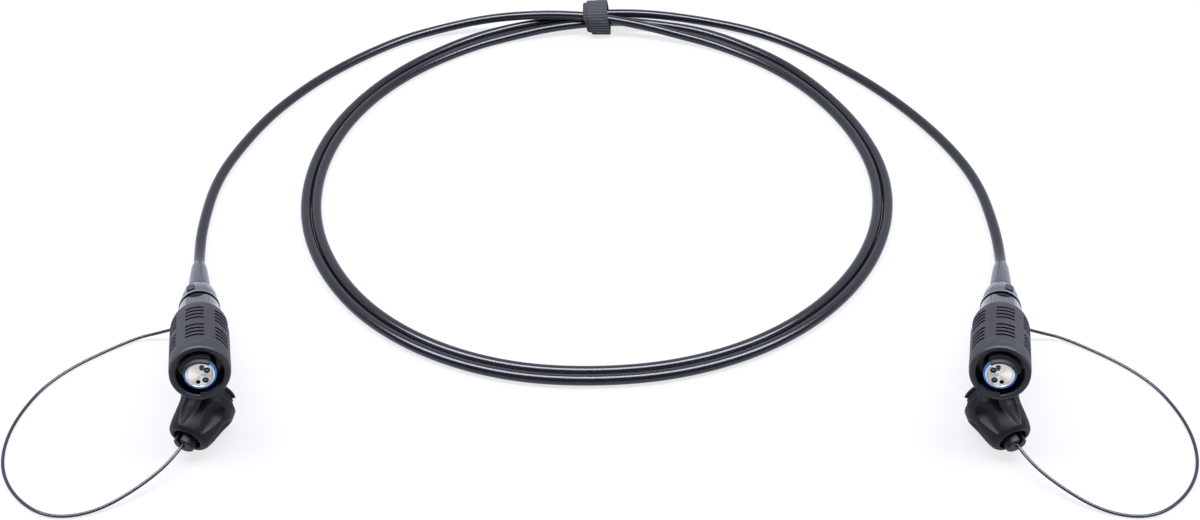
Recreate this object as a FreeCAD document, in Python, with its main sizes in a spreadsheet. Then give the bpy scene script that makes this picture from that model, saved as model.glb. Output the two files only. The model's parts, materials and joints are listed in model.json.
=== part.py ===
import FreeCAD, Part
import Sketcher
import math
import os
import re

from FreeCAD import Placement, Rotation, Vector

doc = FreeCAD.newDocument("fibre_cable")
dims = doc.addObject("Spreadsheet::Sheet", "dims")

# Driving dimensions in millimetres and degrees. Axial sizes of a connector count backwards from
# the mouth of its grip sleeve, those of a cap forwards from the tail end of its shell.
sizes = {
    "cable_dia": 5.8, "strand_gap": 0.3, "coil_radius": 165.9, "coil_x": -2.5, "coil_y": 21.3,
    "coil_open": 30.0,
    "lanyard_dia": 1.6, "turn_gap": 0.35, "fit_gap": 0.05,
    "nose_x": 182.1, "nose_y": 186.26, "nose_z": 46.75, "nose_tilt": 17.85, "nose_yaw": 15.8,
    "tail_x": 193.4, "tail_y": 193.55, "tail_z": 10.27, "cap_yaw": 19.9, "cap_tilt": 11.2,
    "grip_rad": 13.9, "grip_len": 57.0, "grip_bore": 11.6, "grip_lip": 10.35, "mouth_rad": 10.8,
    "groove_wide": 1.5, "groove_deep": 1.0, "groove_pitch": 3.9, "groove_front": 13.2,
    "group_pitch": 20.0, "groove_span": 36.6, "panel_turn": 90.0, "panel_count": 6,
    "notch_span": 51.0, "notch_deep": 1.0, "notch_turn": -74.0,
    "ring_len": 50.0, "barrel_rad": 9.5, "spigot_rad": 7.5, "spigot_len": 9.0,
    "claw_reach": 6.0, "claw_inner": 7.7, "claw_span": 100.0, "claw_turn": 100.0,
    "claw_groove": 0.8, "shoulder_rad": 11.0, "neck_rad": 9.9, "neck_end": 72.5, "flat_rad": 8.6,
    "thread_rad": 7.2, "thread_end": 82.0, "stub_rad": 4.4, "stub_bore": 3.3, "stub_end": 88.0,
    "body_bore": 4.6, "insert_rad": 5.55, "insert_len": 20.0, "insert_face": 1.2,
    "ring_rad": 6.5, "ring_seat": 6.0, "seal_rad": 7.4,
    "lens_circle": 3.7, "lens_rad": 1.4, "lens_a": 26.0, "lens_b": -59.0,
    "pin_rad": 0.95, "pin_foot": 1.15, "pin_turn": 67.0, "pin_reach": 3.6, "pin_seat": 7.0,
    "hole_rad": 1.0, "hole_turn": -113.0, "hole_deep": 6.0,
    "snap_front": 11.2, "snap_wide": 1.5, "snap_rad": 10.4,
    "flange_rad": 10.1, "flange_len": 4.0, "nut_rad": 8.4, "nut_end": 93.0, "nut_bore": 5.9,
    "collar_front": 79.5, "collar_wide": 5.0, "collar_rad": 9.0, "lug_turn": 106.0,
    "socket_turn": 195.5, "socket_lean": 21.0,
    "boot_rad": 5.75, "boot_tip": 3.9, "boot_end": 134.6, "boot_gap": 0.15,
    "cap_small": 10.75, "cap_big": 13.55, "cap_waist": 4.0, "cap_corner": 18.1, "cap_end": 23.2,
    "cap_mouth": 12.8, "cap_hole": 6.8, "cap_bore": 8.35, "core_rad": 8.0, "core_step": 5.5,
    "core_face": 25.8, "cup_rad": 6.9, "cup_deep": 12.4, "rim_rad": 10.4, "rim_len": 1.6,
    "cap_reach": 3.0, "cap_claw_turn": 130.0, "plug_rad": 5.0, "plug_reach": 3.6,
    "slot_wide": 2.6, "slot_turn": 75.0,
    "scallop_rad": 7.5, "scallop_deep": 2.3, "scallop_at": 12.2, "scallop_tip": 1.8,
    "scallop_turn": 23.0, "clip_at": 8.2, "clip_wide": 1.3,
    "tie_wide": 13.2, "tie_shift": 2.6, "tie_layer": 1.5, "tie_in_y": 17.0, "tie_in_z": 13.2,
    "tie_y": 189.7, "tie_x": -0.6, "tie_corner": 4.0,
}
for row, (name, value) in enumerate(sizes.items(), start=1):
    dims.set("A%d" % row, name)
    dims.set("B%d" % row, str(value))
    dims.setAlias("B%d" % row, name)
doc.recompute()

pieces = []


def size(name):
    return float(dims.get(name))


def bound(text):
    # "grip_rad - 1.2" becomes an expression on the sheet's cells
    return re.sub(r"[a-z]\w*", lambda m: ("dims." if m[0] in sizes else "") + m[0], text)


def plane(body, axis):
    return next(f for f in body.Origin.OriginFeatures if f.Name.startswith(axis))


def outlines(body, label, loops, turn=None):
    # closed polygons on the body's XZ plane, every corner driven by the sheet; X is the radius
    # and Y the axial position; turn swings the plane round the axis
    sketch = body.newObject("Sketcher::SketchObject", label)
    sketch.AttachmentSupport = [(plane(body, "XZ"), "")]
    sketch.MapMode = "FlatFace"
    if turn is not None:
        sketch.AttachmentOffset = Placement(Vector(), Rotation(Vector(0, 1, 0), 1))
        sketch.setExpression("AttachmentOffset.Rotation.Angle", bound(turn))
    for loop in loops:
        first = sketch.GeometryCount
        count = len(loop)
        ring = []
        for i in range(count):
            angle = 2 * math.pi * i / count
            ring.append(Vector(20 + 5 * math.cos(angle), 5 * math.sin(angle), 0))
        for i in range(count):
            sketch.addGeometry(Part.LineSegment(ring[i], ring[(i + 1) % count]), False)
        for i in range(count):
            follow = first + (i + 1) % count
            sketch.addConstraint(Sketcher.Constraint("Coincident", first + i, 2, follow, 1))
        for i, (radius, height) in enumerate(loop):
            for kind, text in (("DistanceX", radius), ("DistanceY", height)):
                number = sketch.addConstraint(
                    Sketcher.Constraint(kind, -1, 1, first + i, 1, 1.0 + i))
                sketch.setExpression("Constraints[%d]" % number, bound(text))
    doc.recompute()
    return sketch


def spun(label, loop):
    # a turned piece: one closed outline revolved round the local Z axis
    body = doc.addObject("PartDesign::Body", label)
    body.Label = label
    sketch = outlines(body, label + "_outline", [loop])
    turned = body.newObject("PartDesign::Revolution", label + "_turned")
    turned.Profile = sketch
    turned.ReferenceAxis = (sketch, ["V_Axis"])
    turned.Angle = 360
    doc.recompute()
    return body


def swing(body, kind, label, loops, turn, span):
    # adds or cuts a part turn, centred on an angle round the axis
    sketch = outlines(body, label + "_outline", loops, turn)
    cut = body.newObject("PartDesign::" + kind, label)
    cut.Profile = sketch
    cut.ReferenceAxis = (sketch, ["V_Axis"])
    cut.Midplane = True
    cut.setExpression("Angle", bound(span))
    doc.recompute()
    return cut


def around(body, feature, count, label):
    # repeats a feature evenly round the axis
    pattern = body.newObject("PartDesign::PolarPattern", label)
    pattern.Originals = [feature]
    pattern.Axis = (plane(body, "Z_Axis"), [""])
    pattern.Angle = 360
    pattern.setExpression("Occurrences", bound(count))
    body.Tip = pattern
    doc.recompute()
    return pattern


def solid(kind, label, place=Placement(), **bindings):
    item = doc.addObject("Part::" + kind, label)
    item.Placement = place
    for prop, text in bindings.items():
        item.setExpression(prop.replace("__", "."), bound(text))
    doc.recompute()
    return item


def cut(label, base, tools):
    if len(tools) > 1:
        joined = doc.addObject("Part::MultiFuse", label + "_tools")
        joined.Shapes = tools
    else:
        joined = tools[0]
    result = doc.addObject("Part::Cut", label)
    result.Base = base
    result.Tool = joined
    result.Label = label
    doc.recompute()
    return result


def fuse(label, shapes):
    result = doc.addObject("Part::MultiFuse", label)
    result.Shapes = shapes
    result.Label = label
    doc.recompute()
    return result


def polar(radius, angle, height):
    return Vector(radius * math.cos(math.radians(angle)), radius * math.sin(math.radians(angle)), height)


def frame(origin, forward):
    # local Z along forward, local Y as near to upwards as it can be
    across = Vector(0, 0, 1).cross(forward)
    across.normalize()
    upward = forward.cross(across)
    return Placement(origin, Rotation(across, upward, forward, "ZXY"))


def heading(yaw, tilt):
    yaw = math.radians(yaw)
    tilt = math.radians(tilt)
    return Vector(math.cos(tilt) * math.sin(yaw), -math.cos(tilt) * math.cos(yaw), math.sin(tilt))


def keep(item, name, place=None):
    # a finished piece of the left end with its mirror image at the right end
    if place is not None:
        item.Placement = place.multiply(item.Placement)
    item.Label = "left_" + name
    twin = doc.addObject("Part::Mirroring", "right_" + name)
    twin.Source = item
    twin.Base = Vector(0, 0, 0)
    twin.Normal = Vector(1, 0, 0)
    twin.Label = "right_" + name
    pieces.extend([item, twin])
    doc.recompute()
    return item


forward = heading(size("nose_yaw"), size("nose_tilt"))
nose = frame(Vector(-size("nose_x"), -size("nose_y"), size("nose_z")), forward)
tailward = heading(-size("cap_yaw"), -size("cap_tilt"))
cap = frame(Vector(-size("tail_x"), -size("tail_y"), size("tail_z")), tailward * -1)

# Connector body: barrel with shoulder, neck, thread and crimp stub, then the claw with its
# coupling grooves and the wrench flats.
body = spun("plug_body", [
    ("ring_rad + fit_gap", "-0.4"), ("spigot_rad", "-0.4"), ("spigot_rad", "-spigot_len"),
    ("barrel_rad", "-spigot_len"), ("barrel_rad", "-ring_len - 0.4"),
    ("shoulder_rad", "-ring_len - 0.4"), ("shoulder_rad", "-ring_len - 3"),
    ("neck_rad", "-ring_len - 3"), ("neck_rad", "-neck_end + 0.6"),
    ("neck_rad - 0.6", "-neck_end"), ("thread_rad", "-neck_end"), ("thread_rad", "-thread_end"),
    ("stub_rad", "-thread_end"), ("stub_rad", "-stub_end"), ("stub_bore", "-stub_end"),
    ("stub_bore", "-thread_end"), ("body_bore", "-thread_end + 2"),
    ("body_bore", "-insert_len - 0.2"), ("insert_rad + 2 * fit_gap", "-insert_len - 0.2"),
    ("insert_rad + 2 * fit_gap", "-ring_seat - 0.2"), ("ring_rad + fit_gap", "-ring_seat - 0.2")])
swing(body, "Revolution", "claw", [[
    ("spigot_rad - 0.2", "-spigot_len - 0.3"), ("barrel_rad", "-spigot_len - 0.3"),
    ("barrel_rad", "claw_reach - 0.7"), ("barrel_rad - 0.7", "claw_reach"),
    ("claw_inner", "claw_reach"), ("claw_inner", "-0.4"), ("spigot_rad - 0.2", "-0.6")]],
    "claw_turn", "claw_span")
swing(body, "Groove", "claw_grooves", [[
    ("barrel_rad - claw_groove", at + " - 0.6"), ("barrel_rad + 1", at + " - 0.9"),
    ("barrel_rad + 1", at + " + 0.9"), ("barrel_rad - claw_groove", at + " + 0.6")]
    for at in ("claw_reach - 2.4", "claw_reach - 5.4", "claw_reach - 8.4")],
    "claw_turn", "claw_span + 4")
swing(body, "Groove", "snap_groove", [[
    ("snap_rad - 1.7", "-snap_front"), ("snap_rad + 1", "-snap_front"),
    ("snap_rad + 1", "-snap_front - snap_wide"), ("snap_rad - 1.7", "-snap_front - snap_wide")]],
    "0", "360")
flats = []
for side in (1, -1):
    box = solid("Box", "flat_tool", Placement(Vector(-15, 0, 0), Rotation()),
                Length="30", Width="6", Height="neck_end - ring_len - 8",
                Placement__Base__z="-neck_end - 0.5")
    box.setExpression("Placement.Base.y", bound("flat_rad" if side > 0 else "-flat_rad - 6"))
    flats.append(box)
doc.recompute()
keep(cut("plug", body, flats), "plug_body", nose)

# Optical insert with lens bores, guide hole and pin seat
bores = []
for label, turn, radius, deep in (
        ("lens_bore_a", "lens_a", "lens_rad + fit_gap", "insert_len + 10"),
        ("lens_bore_b", "lens_b", "lens_rad + fit_gap", "insert_len + 10"),
        ("guide_hole", "hole_turn", "hole_rad", "hole_deep + 5"),
        ("pin_bore", "pin_turn", "pin_foot + fit_gap", "pin_seat + 5")):
    bores.append(solid("Cylinder", label, Radius=radius, Height=deep,
                       Placement__Base__x="lens_circle * cos(" + turn + " * 1 deg)",
                       Placement__Base__y="lens_circle * sin(" + turn + " * 1 deg)",
                       Placement__Base__z="insert_face + 5 - (" + deep + ")"))
disc = spun("insert_blank", [
    ("0", "insert_face"), ("insert_rad - 0.2", "insert_face"), ("insert_rad", "insert_face - 0.2"),
    ("insert_rad", "-insert_len"), ("0", "-insert_len")])
keep(cut("insert", disc, bores), "lens_insert", nose)
keep(spun("insert_ring", [
    ("insert_rad + fit_gap", "insert_face - 0.1"), ("insert_rad + fit_gap + 0.3", "insert_face + 0.3"),
    ("ring_rad - 0.3", "insert_face + 0.3"), ("ring_rad", "insert_face"),
    ("ring_rad", "-ring_seat"), ("insert_rad + fit_gap", "-ring_seat")]), "insert_ring", nose)
keep(spun("face_seal", [
    ("ring_rad + fit_gap", "-0.35"), ("seal_rad", "-0.35"), ("seal_rad", "0.45"),
    ("seal_rad - 0.3", "0.8"), ("ring_rad + 0.3", "0.8"), ("ring_rad + fit_gap", "0.55")]),
    "face_seal", nose)

lenses = []
ferrules = []
fibres = []
for turn in ("lens_a", "lens_b"):
    seat = {"Placement__Base__x": "lens_circle * cos(" + turn + " * 1 deg)",
            "Placement__Base__y": "lens_circle * sin(" + turn + " * 1 deg)"}
    lenses.append(solid("Sphere", "lens_ball", Radius="lens_rad",
                        Placement__Base__z="insert_face - lens_rad - 0.3", **seat))
    ferrules.append(solid("Cylinder", "ferrule_rod", Radius="lens_rad - 0.15", Height="11",
                          Placement__Base__z="-14.2", **seat))
    start = polar(size("lens_circle"), size(turn), -14.3)
    finish = polar(0.8, size(turn), -size("stub_end"))
    lean = Rotation(Vector(0, 0, 1), finish - start)
    fibres.append(solid("Cylinder", "fibre_rod", Placement(start, lean), Radius="0.45"))
    fibres[-1].Height = (finish - start).Length
doc.recompute()
for name, group in (("ball_lenses", lenses), ("ferrules", ferrules), ("fibres", fibres)):
    pair = doc.addObject("Part::Compound", name)
    pair.Links = group
    keep(pair, name, nose)

pin = spun("guide_pin", [
    ("0", "pin_reach"), ("pin_rad - 0.5", "pin_reach"), ("pin_rad", "pin_reach - 0.6"),
    ("pin_rad", "insert_face"), ("pin_foot", "insert_face"),
    ("pin_foot", "insert_face - pin_seat + 0.2"), ("0", "insert_face - pin_seat + 0.2")])
pin.Placement = Placement(polar(size("lens_circle"), size("pin_turn"), 0), Rotation())
keep(pin, "guide_pin", nose)

# Turning coupling ring and the grip bonded on it
ring = spun("coupling_ring", [
    ("mouth_rad", "-1.05"), ("grip_bore - fit_gap", "-1.05"), ("grip_bore - fit_gap", "-ring_len"),
    ("barrel_rad + turn_gap", "-ring_len"),
    ("barrel_rad + turn_gap", "-snap_front - snap_wide - 0.5"),
    ("mouth_rad", "-snap_front - snap_wide - 0.5")])
swing(ring, "Revolution", "ring_key", [[
    ("barrel_rad + turn_gap + 0.1", "-1.6"), ("barrel_rad + turn_gap + 0.7", "-1.05"),
    ("mouth_rad + 0.2", "-1.05"), ("mouth_rad + 0.2", "-snap_front + 2"),
    ("barrel_rad + turn_gap + 0.1", "-snap_front + 2")]], "notch_turn", "notch_span")
keep(ring, "coupling_ring", nose)
grip = spun("grip_sleeve", [
    ("mouth_rad + 0.5", "0"), ("grip_rad - 0.9", "0"), ("grip_rad - 0.25", "-0.6"),
    ("grip_rad - 0.1", "-5.5"), ("grip_rad", "-5.9"), ("grip_rad", "-grip_len + 9"),
    ("grip_rad - 0.5", "-grip_len + 4.5"), ("grip_rad - 1.6", "-grip_len + 1.8"),
    ("grip_rad - 2.9", "-grip_len"), ("grip_lip", "-grip_len"), ("grip_lip", "-grip_len + 3.2"),
    ("grip_bore", "-grip_len + 3.4"), ("grip_bore", "-1"), ("mouth_rad", "-1"),
    ("mouth_rad", "-0.5")])
rows = []
for group in ("0", "group_pitch"):
    for step in range(4):
        at = "-groove_front - %s - %d * groove_pitch" % (group, step)
        rows.append([("grip_rad - groove_deep", at + " - groove_wide / 2"),
                     ("grip_rad + 1", at + " - groove_wide / 2 - 0.15"),
                     ("grip_rad + 1", at + " + groove_wide / 2 + 0.15"),
                     ("grip_rad - groove_deep", at + " + groove_wide / 2")])
panel = swing(grip, "Groove", "grip_grooves", rows, "panel_turn", "groove_span")
around(grip, panel, "panel_count", "grip_panels")
swing(grip, "Groove", "rim_notch", [[
    ("mouth_rad - 1", "-notch_deep"), ("grip_rad + 1", "-notch_deep"),
    ("grip_rad + 1", "1"), ("mouth_rad - 1", "1")]], "notch_turn", "notch_span")
keep(grip, "grip_sleeve", nose)
keep(spun("snap_ring", [
    ("snap_rad - 1.6", "-snap_front - 0.1"), ("snap_rad", "-snap_front - 0.1"),
    ("snap_rad", "-snap_front - snap_wide + 0.1"), ("snap_rad - 1.6", "-snap_front - snap_wide + 0.1")]),
    "snap_ring", nose)

# Rear end: seal, gland nut, crimp, cable seal, collar, boot
keep(spun("neck_seal", [
    ("thread_rad + fit_gap", "-neck_end - 0.05"), ("neck_rad - 0.9", "-neck_end - 0.05"),
    ("neck_rad - 0.7", "-neck_end - 0.7"), ("neck_rad - 0.9", "-neck_end - 1.4"),
    ("thread_rad + fit_gap", "-neck_end - 1.4")]), "neck_seal", nose)
keep(spun("gland_nut", [
    ("thread_rad + fit_gap", "-neck_end - 1.5"), ("flange_rad - 0.8", "-neck_end - 1.5"),
    ("flange_rad", "-neck_end - 2.2"), ("flange_rad", "-neck_end - flange_len - 0.6"),
    ("flange_rad - 0.6", "-neck_end - flange_len - 1.4"), ("nut_rad", "-neck_end - flange_len - 1.8"),
    ("nut_rad", "-nut_end + 3"), ("nut_rad - 0.5", "-nut_end + 1.2"), ("nut_rad - 1.4", "-nut_end"),
    ("nut_bore", "-nut_end"), ("nut_bore", "-thread_end - 1"),
    ("thread_rad + fit_gap", "-thread_end - 1")]), "gland_nut", nose)
keep(spun("crimp_sleeve", [
    ("stub_rad + fit_gap", "-thread_end - 0.5"), ("stub_rad + 0.8", "-thread_end - 0.5"),
    ("stub_rad + 0.8", "-stub_end - 0.4"), ("stub_rad + fit_gap", "-stub_end - 0.4")]),
    "crimp_sleeve", nose)
keep(spun("gland_seal", [
    ("cable_dia / 2 + fit_gap", "-stub_end - 0.8"), ("nut_bore - fit_gap", "-stub_end - 0.8"),
    ("nut_bore - fit_gap", "-stub_end - 2"), ("cable_dia / 2 + fit_gap", "-stub_end - 2")]),
    "gland_seal", nose)
keep(spun("boot", [
    ("cable_dia / 2 + boot_gap", "-stub_end - 2.1"), ("boot_rad", "-stub_end - 2.1"),
    ("boot_rad", "-nut_end - 6"), ("boot_rad - 0.2", "-nut_end - 11"),
    ("boot_tip + 0.6", "-boot_end + 12"), ("boot_tip", "-boot_end + 1.2"),
    ("boot_tip - 0.5", "-boot_end"), ("cable_dia / 2 + boot_gap", "-boot_end")]), "boot", nose)

keep(spun("cable_end", [
    ("0", "-stub_end - 0.1"), ("cable_dia / 2", "-stub_end - 0.1"),
    ("cable_dia / 2", "-boot_end + 3.02"), ("0", "-boot_end + 3.02")]), "cable_end", nose)

hoop = spun("collar_hoop", [
    ("nut_rad + fit_gap", "-collar_front"), ("collar_rad - 0.3", "-collar_front"),
    ("collar_rad", "-collar_front - 0.3"), ("collar_rad", "-collar_front - collar_wide + 0.3"),
    ("collar_rad - 0.3", "-collar_front - collar_wide"),
    ("nut_rad + fit_gap", "-collar_front - collar_wide")])
lug = solid("Box", "collar_lug", Length="1.9", Width="4", Height="collar_wide + 0.6")
spin = Rotation(Vector(0, 0, 1), size("lug_turn"))
lug.Placement = Placement(spin.multVec(Vector(size("nut_rad") + 0.2, -2, 0)), spin)
lug.setExpression("Placement.Base.z", bound("-collar_front - collar_wide - 0.3"))
lean = math.radians(size("socket_lean"))
outward = polar(math.cos(lean), size("socket_turn"), -math.sin(lean))
root = polar(size("nut_rad") + 1.6, size("socket_turn") + 66, -size("collar_front") - 2.5)
socket = solid("Cylinder", "collar_socket", Placement(root, Rotation(Vector(0, 0, 1), outward)),
               Radius="2", Height="6")
drum = solid("Cylinder", "nut_room", Radius="nut_rad + fit_gap", Height="collar_wide + 3",
             Placement__Base__z="-collar_front - collar_wide - 1.5")
keep(cut("collar_cut", fuse("collar_fused", [hoop, lug, socket]), [drum]), "collar", nose)

lean = Rotation(Vector(0, 0, 1), outward)
ferrule = solid("Cylinder", "crimp_barrel", Placement(root + outward * 6, lean),
                Radius="lanyard_dia / 2 + 0.6", Height="6")
hollow = solid("Cylinder", "crimp_hole", Placement(root + outward * 6.5, lean),
               Radius="lanyard_dia / 2 + fit_gap", Height="8")
keep(cut("lanyard_crimp", ferrule, [hollow]), "lanyard_ferrule", nose)

# Dust cap. Shell: tapered outside, tail hole, inner lip and snap-ring groove, six scallops.
shell = spun("cap_shell", [
    ("cap_hole + 0.4", "0"), ("cap_small - 2.2", "0"), ("cap_small - 0.9", "1.3"),
    ("cap_small", "cap_waist"), ("cap_big", "cap_corner"), ("cap_mouth", "cap_end"),
    ("cap_bore", "cap_end"), ("cap_bore", "clip_at + clip_wide + 0.2"),
    ("cap_bore + 0.8", "clip_at + clip_wide + 0.2"), ("cap_bore + 0.8", "clip_at - 0.2"),
    ("cap_bore", "clip_at - 0.2"), ("cap_bore", "core_step - 0.4"), ("cap_hole", "core_step - 0.4"),
    ("cap_hole", "0.4")])
scallop = shell.newObject("Sketcher::SketchObject", "scallop_outline")
scallop.AttachmentSupport = [(plane(shell, "XZ"), "")]
scallop.MapMode = "FlatFace"
scallop.AttachmentOffset = Placement(Vector(), Rotation(Vector(0, 1, 0), size("scallop_turn")))
big = size("scallop_rad")
thin = size("scallop_tip")
slope = (size("cap_big") - size("cap_small")) / (size("cap_corner") - size("cap_waist"))
wide_at = size("scallop_at")
thin_at = size("cap_waist") - 0.5
skin_wide = size("cap_small") + slope * (wide_at - size("cap_waist"))
skin_thin = size("cap_small") + slope * (thin_at - size("cap_waist"))
ball = Vector(skin_wide - size("scallop_deep") + big, wide_at, 0)
point = Vector(skin_thin - 0.5 + thin, thin_at, 0)
along = (point - ball)
reach = along.Length
along.normalize()
inward = Vector(along.y, -along.x, 0)
if inward.x > 0:
    inward = inward * -1
lean = math.asin((big - thin) / reach)
edge = inward * math.cos(lean) + along * math.sin(lean)
top = ball - along * big
end = point + along * thin
scallop.addGeometry(Part.LineSegment(top, end), False)
scallop.addGeometry(Part.Arc(end, point + (edge + along).normalize() * thin, point + edge * thin), False)
scallop.addGeometry(Part.LineSegment(point + edge * thin, ball + edge * big), False)
scallop.addGeometry(Part.Arc(ball + edge * big, ball + (edge - along).normalize() * big, top), False)
doc.recompute()
scoop = shell.newObject("PartDesign::Groove", "scallop_scoop")
scoop.Profile = scallop
scoop.ReferenceAxis = (scallop, ["Edge1"])
scoop.Angle = 360
doc.recompute()
around(shell, scoop, "panel_count", "scallops")
keep(shell, "cap_shell", cap)

# Cap core: barrel with snap-ring groove, cup for the optical face, rim and claw
core = spun("cap_core", [
    ("3.45", "core_step"), ("core_rad - 0.4", "core_step"), ("core_rad", "core_step + 0.4"),
    ("core_rad", "clip_at"), ("core_rad - 0.7", "clip_at"),
    ("core_rad - 0.7", "clip_at + clip_wide"), ("core_rad", "clip_at + clip_wide"),
    ("core_rad", "cap_end + 0.4"), ("rim_rad", "cap_end + 0.4"),
    ("rim_rad", "cap_end + 0.4 + rim_len"), ("core_rad + 0.4", "cap_end + 0.4 + rim_len"),
    ("core_rad + 0.4", "core_face"), ("cup_rad", "core_face"), ("cup_rad", "core_face - cup_deep"),
    ("3.45", "core_face - cup_deep")])
swing(core, "Revolution", "cap_claw", [[
    ("core_rad + 0.8", "cap_end + rim_len"), ("rim_rad", "cap_end + rim_len"),
    ("rim_rad", "core_face + cap_reach - 0.5"), ("rim_rad - 0.5", "core_face + cap_reach"),
    ("core_rad + 0.8", "core_face + cap_reach")]], "cap_claw_turn", "claw_span")
swing(core, "Groove", "cap_claw_groove", [[
    ("rim_rad - claw_groove", "core_face + 0.4"), ("rim_rad + 1", "core_face + 0.2"),
    ("rim_rad + 1", "core_face + 1.7"), ("rim_rad - claw_groove", "core_face + 1.5")]],
    "cap_claw_turn", "claw_span + 4")
keep(core, "cap_core", cap)

# Tail plug with its slot and the lanyard's way through
tail = spun("cap_plug_blank", [
    ("lanyard_dia / 2 + 0.15", "-plug_reach"), ("plug_rad - 0.5", "-plug_reach"),
    ("plug_rad", "-plug_reach + 0.5"), ("plug_rad", "core_step - 0.5"), ("3.4", "core_step - 0.5"),
    ("3.4", "core_face - cup_deep - 0.1"), ("2.1", "core_face - cup_deep - 0.1"),
    ("2.1", "core_step + 2"),
    ("lanyard_dia / 2 + 0.15", "core_step + 2")])
slot = solid("Box", "plug_slot", Length="plug_rad + 2", Width="slot_wide", Height="plug_reach + 4")
spin = Rotation(Vector(0, 0, 1), size("slot_turn"))
slot.Placement = Placement(spin.multVec(Vector(0, -size("slot_wide") / 2, -size("plug_reach") - 1)), spin)
keep(cut("plug_slotted", tail, [slot]), "cap_plug", cap)
keep(spun("lanyard_stop", [
    ("0", "core_step + 2.05"), ("2", "core_step + 2.05"), ("2", "core_step + 6"),
    ("0", "core_step + 6")]), "lanyard_stop", cap)
keep(spun("cap_seal", [
    ("4", "core_face - cup_deep + 0.02"), ("cup_rad - fit_gap", "core_face - cup_deep + 0.02"),
    ("cup_rad - fit_gap", "core_face - cup_deep + 1.2"), ("4", "core_face - cup_deep + 1.2")]),
    "cap_seal", cap)
keep(spun("cap_clip", [
    ("core_rad - 0.65", "clip_at + 0.1"), ("core_rad + 0.8", "clip_at + 0.1"),
    ("core_rad + 0.8", "clip_at + clip_wide - 0.1"),
    ("core_rad - 0.65", "clip_at + clip_wide - 0.1")]),
    "cap_clip", cap)


def tube(label, points, radius):
    # straight runs joined by tangent arcs, each arc taking 0.45 of its shorter run
    edges = []
    start = points[0]
    tightest = None
    for before, corner, after in zip(points, points[1:], points[2:]):
        back = before - corner
        onward = after - corner
        bite = 0.45 * min(back.Length, onward.Length)
        back.normalize()
        onward.normalize()
        half_turn = (math.pi - back.getAngle(onward)) / 2
        bend = bite / math.tan(half_turn)
        tightest = bend if tightest is None else min(tightest, bend)
        middle = back + onward
        middle.normalize()
        entry = corner + back * bite
        leave = corner + onward * bite
        crown = corner + middle * (math.hypot(bend, bite) - bend)
        edges.append(Part.LineSegment(start, entry).toShape())
        edges.append(Part.Arc(entry, crown, leave).toShape())
        start = leave
    edges.append(Part.LineSegment(start, points[-1]).toShape())
    path = Part.Wire(edges)
    ring = Part.Wire(Part.Circle(points[0], points[1] - points[0], radius).toShape())
    item = doc.addObject("Part::Feature", label)
    item.Shape = path.makePipeShell([ring], True, False)
    item.Label = label
    share = item.Shape.Volume / (math.pi * radius * radius * path.Length)
    print("cord", label, "radius", radius, "length", round(path.Length, 1),
          "tightest bend", round(tightest, 1), "volume share", round(share, 4))
    return item


def world(points):
    return [Vector(*p) for p in points]


# Cable: two turns as one open ring of two strands side by side, and three single strands
# through the tie: the left lead lies on top and runs into the inner turn, the crossover joins
# the inner turn to the outer one, the right lead leaves the outer turn.
cable_rad = size("cable_dia") / 2
middle = Vector(size("coil_x"), size("coil_y"), 0)
ring = doc.addObject("PartDesign::Body", "cable_coil")
ring.Label = "cable_coil"
band = ring.newObject("Sketcher::SketchObject", "coil_section")
band.AttachmentSupport = [(plane(ring, "XZ"), "")]
band.MapMode = "FlatFace"
near = size("coil_radius") - (size("cable_dia") + size("strand_gap")) / 2
far = size("coil_radius") + (size("cable_dia") + size("strand_gap")) / 2
band.addGeometry(Part.LineSegment(Vector(near, 0, 0), Vector(far, 0, 0)), False)
band.addGeometry(Part.LineSegment(Vector(far, 2 * cable_rad, 0), Vector(near, 2 * cable_rad, 0)), False)
band.addGeometry(Part.ArcOfCircle(Part.Circle(Vector(far, cable_rad, 0), Vector(0, 0, 1), cable_rad),
                                  -math.pi / 2, math.pi / 2), False)
band.addGeometry(Part.ArcOfCircle(Part.Circle(Vector(near, cable_rad, 0), Vector(0, 0, 1), cable_rad),
                                  math.pi / 2, 3 * math.pi / 2), False)
for one, at, other, end in ((0, 2, 2, 1), (2, 2, 1, 1), (1, 2, 3, 1), (3, 2, 0, 1)):
    band.addConstraint(Sketcher.Constraint("Coincident", one, at, other, end))
inner = "coil_radius - (cable_dia + strand_gap) / 2"
outer = "coil_radius + (cable_dia + strand_gap) / 2"
for line, end, value, text in (
        (0, 1, near, inner), (0, 2, far, outer), (1, 1, far, outer), (1, 2, near, inner),
        (2, 3, far, outer), (3, 3, near, inner)):
    number = band.addConstraint(Sketcher.Constraint("DistanceX", -1, 1, line, end, value))
    band.setExpression("Constraints[%d]" % number, bound(text))
for line, end in ((1, 1), (1, 2)):
    number = band.addConstraint(Sketcher.Constraint("DistanceY", -1, 1, line, end, 2 * cable_rad))
    band.setExpression("Constraints[%d]" % number, bound("cable_dia"))
band.addConstraint(Sketcher.Constraint("PointOnObject", 0, 1, -1))
band.addConstraint(Sketcher.Constraint("PointOnObject", 0, 2, -1))
doc.recompute()
turns = ring.newObject("PartDesign::Revolution", "coil_turns")
turns.Profile = band
turns.ReferenceAxis = (band, ["V_Axis"])
turns.setExpression("Angle", bound("360 - 2 * coil_open"))
doc.recompute()
opening = size("coil_open")
ring.Placement = Placement(middle, Rotation(Vector(0, 0, 1), 90 + opening))
doc.recompute()
pieces.append(ring)


def strand(radius, angle, along=0.0):
    # a point of the coil at an angle, or that far along its clockwise tangent
    turn = math.radians(angle)
    spot = middle + Vector(radius * math.cos(turn), radius * math.sin(turn), cable_rad)
    return spot + Vector(math.sin(turn), -math.cos(turn), 0) * along


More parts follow.
